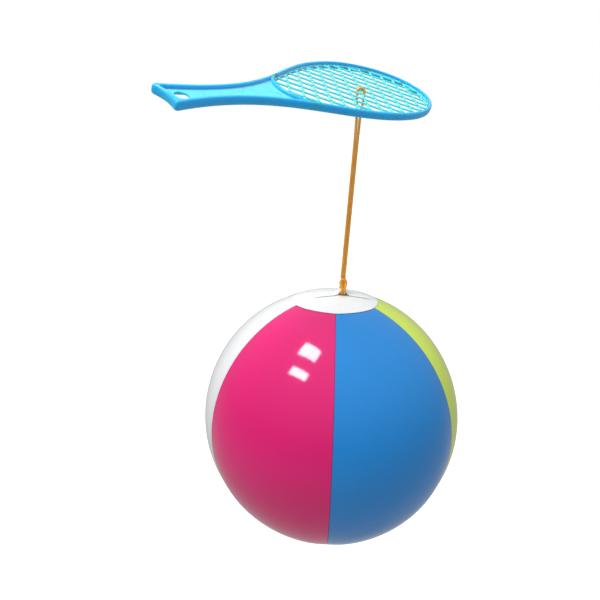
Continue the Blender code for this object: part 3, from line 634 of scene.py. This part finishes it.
def inside(points, loop):
    """Which points are in a closed loop: an odd number of its edges cross the line to the right."""
    a, b = loop, np.roll(loop, -1, axis=0)
    y = points[:, None, 1]
    crosses = (a[:, 1] > y) != (b[:, 1] > y)
    rise = np.where(b[:, 1] == a[:, 1], 1e-12, b[:, 1] - a[:, 1])
    meets = a[:, 0] + (y - a[:, 1]) * (b[:, 0] - a[:, 0]) / rise
    return (crosses & (points[:, None, 0] < meets)).sum(axis=1) % 2 == 1


def make_net():
    """Two families of straight strands that widen where they cross, and a ledge along the rim.

    A strand's section is a rounded lozenge: cosine and sine of a turn, raised to a power below
    one. What a crossing adds to its width dies away as a bell curve along the strand.
    """
    opening = head_opening(NET_INTO_RIM)
    length = np.linalg.norm(NET_STEP)
    turn = np.linspace(0, 2 * PI, STRAND_SIDES, endpoint=False) + PI / STRAND_SIDES
    flat = blunt(np.cos(turn), STRAND_BLUNTNESS)
    tall = blunt(np.sin(turn), STRAND_BLUNTNESS)
    reach = np.linspace(-SEARCH_HALF, SEARCH_HALF, SEARCH_POINTS)
    parts = []
    for sign in (1, -1):
        way = np.array([NET_STEP[0], -sign * NET_STEP[1]]) / length
        out = np.array([way[1], -way[0]])
        thick = NET_HALF_THICK + STRAND_STAGGER * sign
        for k in range(-FARTHEST_STRAND, FARTHEST_STRAND + 1, 2):
            middle = np.array([NET_START + k * NET_STEP[0], 0])
            kept = reach[inside(middle + reach[:, None] * way, opening)]
            if len(kept) < SHORTEST_STRAND:
                continue
            count = max(8, int((kept[-1] - kept[0]) / STRAND_STEP))
            steps = np.linspace(kept[0], kept[-1], count)
            along = (middle[0] + steps * way[0] - NET_START) / NET_STEP[0]
            other = along - sign * (steps * way[1]) / NET_STEP[1]
            from_crossing = np.abs((other + 2) % 2 - 1) * length / 2
            gain = CROSSING_GAIN * np.exp(-((from_crossing / CROSSING_REACH) ** 2))
            wide = NET_HALF_WIDE * (STRAND_WAIST + gain)
            centre = middle + steps[:, None] * way
            plan = centre[:, None] + out * (wide[:, None, None] * flat[None, :, None])
            high = np.broadcast_to(thick * tall, plan.shape[:2])
            parts.append(swept(np.concatenate([plan, high[:, :, None]], axis=2), False))
    inner = head_opening(-NET_EDGE)
    ledge = rounded_bar(opening, inner, LEDGE_HALF_THICK, LEDGE_ROUND, LEDGE_ROUND)
    parts.append(swept(ledge, True))
    points, faces = joined(parts)
    # The net's finish carries painted light: its blue is lightened over the shade on the strands'
    # sides.
    made = piece("racket_net_strands", in_racket(points), faces, NET_PAINTED_LIGHT_BLUE, sharp=60)
    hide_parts("racket_net")
    return made


# The racket is left out of mirror rays, so the ball shows its two windows whole.
MOULDED = (
    (make_moulding(), "racket_blue"),
    (make_web(), "net_cyan"),
    (make_net(), "net_cyan"),
)
for made, slot in MOULDED:
    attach(made, "racket")
    made.visible_glossy = False


# Rubber band.
def half_gap(z):
    """How far each strand is from the band's middle at height z from the tie.

    Below the swing's axis it dies away from the loop's radius to what the strands keep apart.
    """
    depth = np.maximum(-SWING_DROP - z, 0)
    return BAND_APART + (LOOP_RADIUS - BAND_APART) * np.exp(-depth / BAND_CLOSING)


def strand_path(way, first, last, count):
    """One strand between two heights, on the left for way -1 and on the right for way 1."""
    z = np.linspace(first, last, count)
    return np.stack([way * half_gap(z), 0 * z, z], axis=1)


def add_cord(name, local, nodes, bodies):
    """A length of band as a tube on its path, which rides on one body, or stays put in the frame
    where it spans two.
    """
    path = in_band(local)
    points, faces = swept(band_tube(path), False)
    made = piece(name, points, faces, AMBER, sharp=70)
    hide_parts(*nodes)
    if len(bodies) == 2:
        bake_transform(made)
    else:
        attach(made, bodies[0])


def loop_path():
    """Up one strand, over the net in half a circle and down the other strand."""
    turn = np.linspace(PI, 0, 25)[1:-1]
    over = np.stack([LOOP_RADIUS * np.cos(turn), 0 * turn, LOOP_RADIUS * np.sin(turn)], axis=1)
    left = strand_path(-1, -SHARED_TOP, 0, 23)
    right = strand_path(1, 0, -SHARED_TOP, 23)
    return smooth_path(np.vstack([left, over, right]), 110)


loop = loop_path()
add_cord(
    "band_over_net",
    loop,
    ["band_top_loop"],
    ("band_loop", "band_upper"),
)
HITCH_TOP = HITCH_HEIGHT - BAND_DROP
for name, way in (("left", -1), ("right", 1)):
    middle = strand_path(way, -SHARED_TOP, -BAND_MEETS, 50)
    add_cord(
        "band_stretch_" + name,
        middle,
        ["band_upper_" + name],
        ("band_upper", "band_lower"),
    )
    lower = strand_path(way, -BAND_MEETS, HITCH_TOP, 60)
    add_cord(
        "band_twist_" + name,
        lower,
        ["band_lower_" + name],
        ("band_lower", "hitch"),
    )


def hitch_path():
    """Both strands pass behind the strap, under it and up into a bight in front that holds them.

    The left half is a list of places: right of the middle, behind it, above the ball. The right
    half mirrors it, and behind the strap both lean to the right. A smooth curve joins the places.
    """
    reach = STRAP_WAIST / 2 + BAND_RADIUS + GAP
    top = HITCH_RUN + BAND_RADIUS
    front = -(2 * BAND_RADIUS + BAND_CLEARANCE)
    spread, tall = HITCH_SPREAD, HITCH_HEIGHT
    half = np.array(
        [
            (-BAND_APART, 0, tall),
            (-BAND_APART, 0.1 * reach, tall - 1.6 * BAND_RADIUS),
            (-spread * 0.58, 0.25 * reach, 0.62 * tall),
            (-spread * 0.58, 1.12 * reach, top + BAND_RADIUS),
            (-spread * 0.58, 0.9 * reach, HITCH_RUN + 0.3 * BAND_RADIUS),
            (-spread * 0.58, 0.4 * reach, HITCH_RUN),
            (-spread * 0.58, -0.4 * reach, HITCH_RUN),
            (-spread * 0.58, -0.95 * reach, HITCH_RUN + 0.3 * BAND_RADIUS),
            (-spread * 0.6, -1.15 * reach, top + BAND_RADIUS),
            (-spread * 0.7, -0.95 * reach, 0.46 * tall),
            (-spread * 1.3, front - 0.8 * BAND_RADIUS, 0.7 * tall),
            (-spread * 0.75, front - 0.2 * BAND_RADIUS, 0.86 * tall),
        ]
    )
    aside = HITCH_LEAN * np.array([0, 0.3, 0.8, 1, 1, 0.5, 0, 0, 0, 0, 0, 0])
    lean = np.concatenate([aside, [0], aside[::-1]])
    route = np.vstack([half, [(0, front, 0.9 * tall)], half[::-1] * (-1, 1, 1)])
    route[:, 0] += lean
    return smooth_path(route, HITCH_POINTS) - (0, 0, BAND_DROP)


hitch = hitch_path()
add_cord("band_hitched", hitch, ["band_hitch"], ("hitch",))


# Ball surfaces.
def ripple(lat, seam, near):
    """Small puckers along a weld: a weighted sum of sines of the length along it.

    They fade with the distance from it and grow towards the poles.
    """
    along = lat * BALL_RADIUS / MM
    wave = sum(weight * np.sin(along * rate + shift * seam) for rate, shift, weight in PUCKER_WAVES)
    return PUCKER_HEIGHT * wave * near * (PUCKER_MIDDLE + PUCKER_POLES * np.sin(lat) ** 4)


def ball_point(lat, lon, out):
    """An ellipsoid by latitude and longitude, moved out along its normal; it dips along each seam.

    The seams are spread a little away from the first one, by a sine of the longitude.
    """
    turns = (lon - FIRST_SEAM) * GORES / (2 * PI)
    seam = np.round(turns)
    gap = np.abs(turns - seam) * 2 * PI / GORES * BALL_RADIUS * np.cos(lat)
    dip = ((1 + np.cos(2 * PI * turns)) / 2) ** SEAM_SHARPNESS
    near = np.exp(-((gap / PUCKER_REACH) ** 2))
    out = out - SEAM_DIP * dip * np.cos(lat) + ripple(lat, seam % GORES, near)
    flat = np.cos(lat) / BALL_RADIUS
    steep = np.sin(lat) / BALL_HALF_HEIGHT
    size = np.hypot(flat, steep)
    around = BALL_RADIUS * np.cos(lat) + out * flat / size
    up = BALL_HALF_HEIGHT * np.sin(lat) + out * steep / size
    turn = lon + SEAM_SPREAD * np.sin(lon - FIRST_SEAM)
    return np.stack([around * np.cos(turn), around * np.sin(turn), up + 0 * lon], axis=-1)


def lat_at(radius):
    """The latitude where the skin has this radius: the arc cosine of its share of the ball's."""
    return np.arccos(radius / BALL_RADIUS)


def make_gore(name, index, film):
    """One panel of film: a closed profile over the longitude, carried from end to end of the ball.

    The profile is its outer face, a fin turned in at one seam, its inner face and a fin at the
    other seam; its points crowd towards the seams. Both ends are closed between the faces and
    across the fins.
    """
    step = 2 * PI / GORES
    start = FIRST_SEAM + index * step
    end_lat = lat_at(GORE_END)
    lat = np.linspace(end_lat, -end_lat, GORE_ROWS)[:, None]
    around = BALL_RADIUS * np.cos(lat)
    clear = 0.5 * GAP / around
    wall = clear + FILM / around
    share = np.linspace(0, 1, GORE_COLUMNS)
    share = (0.5 - 0.5 * np.cos(PI * share)) * 0.6 + 0.4 * share
    outer = start + clear + (step - 2 * clear) * share
    inner = start + wall + (step - 2 * wall) * share[::-1]
    fin = -SEAM_FIN * np.ones_like(lat)
    far = start + step
    lon = np.hstack([outer, far - clear, far - wall, inner, start + wall, start + clear])
    out = np.hstack([0 * outer, fin, fin, 0 * inner - FILM, fin, fin])
    grid = ball_point(lat, lon, out)
    faces = grid_faces(GORE_ROWS, grid.shape[1], close_columns=True)
    for first in (0, (GORE_ROWS - 1) * grid.shape[1]):
        a = first + np.arange(GORE_COLUMNS)
        b = first + GORE_COLUMNS + 2 + np.arange(GORE_COLUMNS)[::-1]
        faces += np.stack([a[:-1], a[1:], b[1:], b[:-1]], axis=1).tolist()
        faces.append([int(a[-1]), int(a[-1]) + 1, int(a[-1]) + 2, int(b[-1])])
        faces.append([int(a[0]), int(b[0]), int(b[0]) + 1, int(b[0]) + 2])
    made = piece(name + "_film", in_ball(grid), faces, film, sharp=50)
    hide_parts(name)
    return made


def make_patch(name, node, pole, hole, low, high, radius, weld, film, slot):
    """A round sheet over one end of the ball, between two heights above its skin.

    A closed profile runs from its hole or its pole out to a soft edge and back underneath, and is
    turned round the ball's axis. A shallow weld line, a bell curve, runs near the edge.
    """
    turns = np.linspace(0, 2 * PI, PATCH_TURNS + 1)[:-1]
    inward = np.linspace(hole, radius - PATCH_EDGE, PATCH_ROWS)
    edge = np.linspace(PI / 2, -PI / 2, 7)
    middle, half = (low + high) / 2, (high - low) / 2
    top = np.full(PATCH_ROWS, high)
    top = top - weld * np.exp(-(((inward - radius + WELD_INSET) / WELD_HALF) ** 2))
    rounded = radius - PATCH_EDGE + PATCH_EDGE * np.cos(edge)
    reach = np.concatenate([inward, rounded, inward[::-1]])
    rise = np.concatenate([top, middle + half * np.sin(edge), np.full(PATCH_ROWS, low)])
    uneven = 1 + 0.004 * np.sin(3 * turns + 1) + 0.003 * np.sin(7 * turns)
    uneven = 1 + (uneven - 1) * np.clip((reach[:, None] - UNEVEN_FROM) / UNEVEN_OVER, 0, 1)
    lat = pole * lat_at(np.minimum(reach[:, None] * uneven, BALL_RADIUS))
    grid = ball_point(lat, turns[None] + 0 * lat, rise[:, None])
    faces = grid_faces(*grid.shape[:2], close_rows=hole > 0, close_columns=True)
    made = piece(name, in_ball(grid), faces, film, 0.004 * MM, 50)
    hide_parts(node)
    return made


def strap_point(s, t, out):
    """A point over the crown: s along the strap, t across it, out from the skin on its normal."""
    level = np.stack([s, t, 0 * s], axis=-1) @ BAND_AXES.T + UP * CROWN
    ray = level @ BALL_AXES
    skin = ray / np.linalg.norm(ray / BALL_SIZE, axis=-1)[..., None]
    normal = skin / BALL_SIZE**2
    normal = normal / np.linalg.norm(normal, axis=-1)[..., None]
    return skin + normal * out[..., None]


def make_strap():
    """A strip welded down at both ends with pressed bars, and lifted in the middle by the band.

    A flat rounded section is carried along the crown. It narrows and rises by a cosine towards
    its middle, where its edges rise only over the band itself.
    """
    s = np.linspace(-STRAP_LENGTH / 2, STRAP_LENGTH / 2, 140)[:, None]
    share = np.minimum(1, np.abs(s) / STRAP_LIFT_HALF)
    lifted = (1 + np.cos(PI * share**STRAP_LIFT_POWER)) / 2
    half = (STRAP_WIDTH + (STRAP_WAIST - STRAP_WIDTH) * lifted) / 2
    turn = np.linspace(0, 2 * PI, 37)[:-1][None]
    flat = blunt(np.cos(turn), STRAP_FLATNESS)
    tall = blunt(np.sin(turn), STRAP_SOFTNESS)
    over_band = np.exp(-((s / STRAP_OVER_BAND) ** 4))
    lift = lifted + (over_band - lifted) * flat**2
    low = FILM + 2 * GAP + (HITCH_RUN + BAND_RADIUS) * lift
    at_weld = np.clip((np.abs(s) - BARS_FROM) / BARS_OVER, 0, 1)
    pressed = BAR_DEPTH * at_weld * (0.5 + 0.5 * np.cos(np.abs(s) * 2 * PI / BAR_PITCH))
    pressed = pressed * np.clip(1.15 - np.abs(flat) ** 6, 0, 1)
    out = low + STRAP_THICK / 2 * (1 + tall) - pressed * (tall > 0)
    grid = strap_point(s + 0 * turn, half * flat, out)
    points, faces = swept(grid, False)
    made = piece("strap_strip", in_ball(points), faces, PATCH_WHITE, sharp=50)
    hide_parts("tether_strap")
    return made


def make_turned(name, node, profile):
    """A profile of radius and height turned round the ball's axis; points at radius 0 close it."""
    turns = np.linspace(0, 2 * PI, 73)[:-1]
    radius, height = np.array(profile).T
    grid = np.stack(
        [
            radius[:, None] * np.cos(turns),
            radius[:, None] * np.sin(turns),
            height[:, None] + 0 * turns,
        ],
        axis=-1,
    )
    faces = grid_faces(*grid.shape[:2], close_rows=radius[0] > 0, close_columns=True)
    made = piece(name, in_ball(grid), faces, VALVE_MILKY, 0.002 * MM, 35)
    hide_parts(node)
    return made


def softened(corners, radius, closed):
    """A profile with each corner cut by a short arc: a quadratic from one side to the other."""
    corners = np.array(corners, float)
    last = np.roll(corners, 1, axis=0)
    following = np.roll(corners, -1, axis=0)
    t = np.linspace(0, 1, 5)[:, None]
    rounded = []
    for i, corner in enumerate(corners):
        if not closed and i in (0, len(corners) - 1):
            rounded.append(corner[None])
            continue
        before, after = last[i] - corner, following[i] - corner
        cut = min(radius, 0.45 * np.linalg.norm(before), 0.45 * np.linalg.norm(after))
        a, b = corner + unit(before) * cut, corner + unit(after) * cut
        rounded.append((1 - t) ** 2 * a + 2 * (1 - t) * t * corner + t**2 * b)
    return np.vstack(rounded)


FILMS = (
    ("gore_blue", FILM_BLUE, "film_blue"),
    ("gore_lime", FILM_LIME, "film_lime"),
    ("gore_blue_back", FILM_BLUE, "film_blue"),
    ("gore_pink_back", FILM_PINK, "film_pink"),
    ("gore_white", FILM_WHITE, "film_white"),
    ("gore_pink", FILM_PINK, "film_pink"),
)
PATCH = (GAP, GAP + FILM, PATCH_RADIUS, WELD_DEPTH, PATCH_WHITE, "patch_white")
FLANGE = (FLANGE_LOW, FLANGE_HIGH, FLANGE_RADIUS, 0, VALVE_MILKY, "valve_white")
on_ball = [make_gore(name, i, film) for i, (name, film, slot) in enumerate(FILMS)]
on_ball.append(make_patch("patch_top", "top_patch", 1, 0, *PATCH))
on_ball.append(make_patch("patch_bottom", "bottom_patch", -1, VALVE_HOLE, *PATCH))
on_ball.append(make_patch("valve_flange_ring", "valve_flange", -1, VALVE_HOLE, *FLANGE))
for made in on_ball:
    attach(made, "ball")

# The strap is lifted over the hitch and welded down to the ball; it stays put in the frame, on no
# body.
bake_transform(make_strap())

# Valve under the ball: radii, and heights above the outer face of the stem's lip.
LIP_FACE = -125.5 * MM
BORE, STEM_RADIUS, BEAD_RADIUS, LIP_RADIUS = 3.2 * MM, 5.5 * MM, 6.6 * MM, 8.5 * MM
LIP_THICK, BEAD_LOW, BEAD_MIDDLE, STEM_LENGTH = 1.0 * MM, 12.8 * MM, 13.9 * MM, 15 * MM
STEM = [
    (BORE, LIP_FACE),
    (LIP_RADIUS, LIP_FACE),
    (LIP_RADIUS, LIP_FACE + LIP_THICK),
    (STEM_RADIUS, LIP_FACE + LIP_THICK),
    (STEM_RADIUS, LIP_FACE + BEAD_LOW),
    (BEAD_RADIUS, LIP_FACE + BEAD_MIDDLE),
    (STEM_RADIUS, LIP_FACE + STEM_LENGTH),
    (BORE, LIP_FACE + STEM_LENGTH),
]
HEAD_SEAT = LIP_FACE - GAP
HEAD_RADIUS, HEAD_THICK = 6 * MM, 1.2 * MM
SHANK_RADIUS, TIP_RADIUS, TAPER_LOW, TIP_TOP = 2.9 * MM, 1.45 * MM, 5.55 * MM, 7 * MM
PLUG = [
    (0, HEAD_SEAT - HEAD_THICK),
    (HEAD_RADIUS, HEAD_SEAT - HEAD_THICK),
    (HEAD_RADIUS, HEAD_SEAT),
    (SHANK_RADIUS, HEAD_SEAT),
    (SHANK_RADIUS, LIP_FACE + TAPER_LOW),
    (TIP_RADIUS, LIP_FACE + TIP_TOP),
    (0, LIP_FACE + TIP_TOP),
]
VALVE_SOFTNESS = 0.4 * MM
stem = make_turned("valve_stem_tube", "valve_stem", softened(STEM, VALVE_SOFTNESS, True))
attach(stem, "stem")
plug = make_turned("valve_plug_stopper", "valve_plug", softened(PLUG, VALVE_SOFTNESS, False))
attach(plug, "plug")


# Light, floor and camera; the camera's sensor and lens are in millimetres.
CAMERA_RIGHT = np.array([0.652587, -0.754403, 0.070729])
CAMERA_DOWN = np.array([-0.186164, -0.250124, -0.950146])
CAMERA_AT = BALL_AT + np.array([-0.436300, -0.311211, 0.284347])
CAMERA_SENSOR, CAMERA_LENS, CAMERA_NEAR = 36, 36, 0.01
FLOOR_HEIGHT, FLOOR_HALF, FLOOR_GREY, FLOOR_ROUGH, FLOOR_LIFT = -1.3, 30, 0.50, 0.9, 0.78
SKY_LOW, SKY_HIGH, MIRRORED_LIFT = 0.38, 0.88, 0.02


def stand(obj, at, x_axis, y_axis):
    """Places an object by its first two axes."""
    x_axis = unit(np.asarray(x_axis, float))
    z_axis = unit(np.cross(x_axis, y_axis))
    turn = np.stack([x_axis, np.cross(z_axis, x_axis), z_axis], axis=1)
    obj.matrix_world = Matrix.Translation(at.tolist()) @ Matrix(turn.tolist()).to_4x4()


def add_softbox(name, towards, along, size, distance, power):
    """A rectangular lamp that faces the ball from a direction, its long side along another."""
    lamp = bpy.data.lights.new(name, "AREA")
    lamp.shape = "RECTANGLE"
    lamp.size, lamp.size_y = size
    lamp.energy = power
    obj = bpy.data.objects.new(name, lamp)
    bpy.context.scene.collection.objects.link(obj)
    towards = unit(np.array(towards, float))
    along = unit(np.array(along) - towards * (towards @ np.array(along)))
    stand(obj, BALL_AT + towards * distance, along, np.cross(towards, along))


def add_camera():
    """The camera, placed by its right and its down direction."""
    camera = bpy.data.objects.new("camera", bpy.data.cameras.new("camera"))
    camera.data.sensor_width = CAMERA_SENSOR
    camera.data.lens = CAMERA_LENS
    camera.data.clip_start = CAMERA_NEAR
    bpy.context.scene.collection.objects.link(camera)
    stand(camera, CAMERA_AT, CAMERA_RIGHT, -CAMERA_DOWN)
    bpy.context.scene.camera = camera


def mirrored_lift(tree, path):
    """What is added for the rays by which gloss or glass shows the surroundings."""
    glossy, through = path.outputs["Is Glossy Ray"], path.outputs["Is Transmission Ray"]
    return add_math(tree, "MULTIPLY", add_math(tree, "MAXIMUM", glossy, through), MIRRORED_LIFT)


def add_floor():
    """A wide pale floor.

    What the camera sees of it is lifted to white, less the object's shadow.
    """
    made = bpy.data.materials.new("floor_pale")
    made.use_nodes = True
    tree = made.node_tree
    shader = tree.nodes["Principled BSDF"]
    shader.inputs["Base Color"].default_value = (FLOOR_GREY, FLOOR_GREY, FLOOR_GREY, 1)
    shader.inputs["Roughness"].default_value = FLOOR_ROUGH
    shader.inputs["Emission Color"].default_value = (1, 1, 1, 1)
    path = tree.nodes.new("ShaderNodeLightPath")
    lift = add_math(tree, "MULTIPLY", path.outputs["Is Camera Ray"], FLOOR_LIFT)
    lift = add_math(tree, "ADD", lift, mirrored_lift(tree, path))
    tree.links.new(lift, shader.inputs["Emission Strength"])
    span = FLOOR_HALF * np.array([(-1, -1), (1, -1), (1, 1), (-1, 1)])
    points = np.hstack([span, np.full((4, 1), FLOOR_HEIGHT)])
    piece("floor", points, [[0, 1, 2, 3]], made)


def set_world():
    """White for the camera; for the rest a soft grey sky, brighter overhead than at the horizon."""
    world = bpy.data.worlds.new("studio")
    bpy.context.scene.world = world
    world.use_nodes = True
    tree = world.node_tree
    background = tree.nodes["Background"]
    background.inputs["Color"].default_value = (1, 1, 1, 1)
    place = tree.nodes.new("ShaderNodeTexCoord")
    split = tree.nodes.new("ShaderNodeSeparateXYZ")
    tree.links.new(place.outputs["Generated"], split.inputs[0])
    height = add_math(tree, "MAXIMUM", split.outputs["Z"], 0.0)
    path = tree.nodes.new("ShaderNodeLightPath")
    gain = add_math(tree, "MULTIPLY", height, SKY_HIGH - SKY_LOW)
    strength = add_math(tree, "ADD", SKY_LOW, gain)
    strength = add_math(tree, "ADD", strength, mirrored_lift(tree, path))
    whole_sky = add_math(tree, "MAXIMUM", strength, path.outputs["Is Camera Ray"])
    tree.links.new(whole_sky, background.inputs["Strength"])


add_softbox(
    "key_window",
    towards=(-0.335, 0.149, 0.930),
    along=(-0.055, -0.664, 0.091),
    size=(0.66, 0.42),
    distance=2.07,
    power=18,
)
add_softbox(
    "low_window",
    towards=(-0.637, 0.118, 0.762),
    along=(-0.063, -0.603, 0.048),
    size=(0.60, 0.25),
    distance=2.09,
    power=10,
)
add_camera()
add_floor()
set_world()
bpy.context.scene.view_settings.view_transform = "Standard"
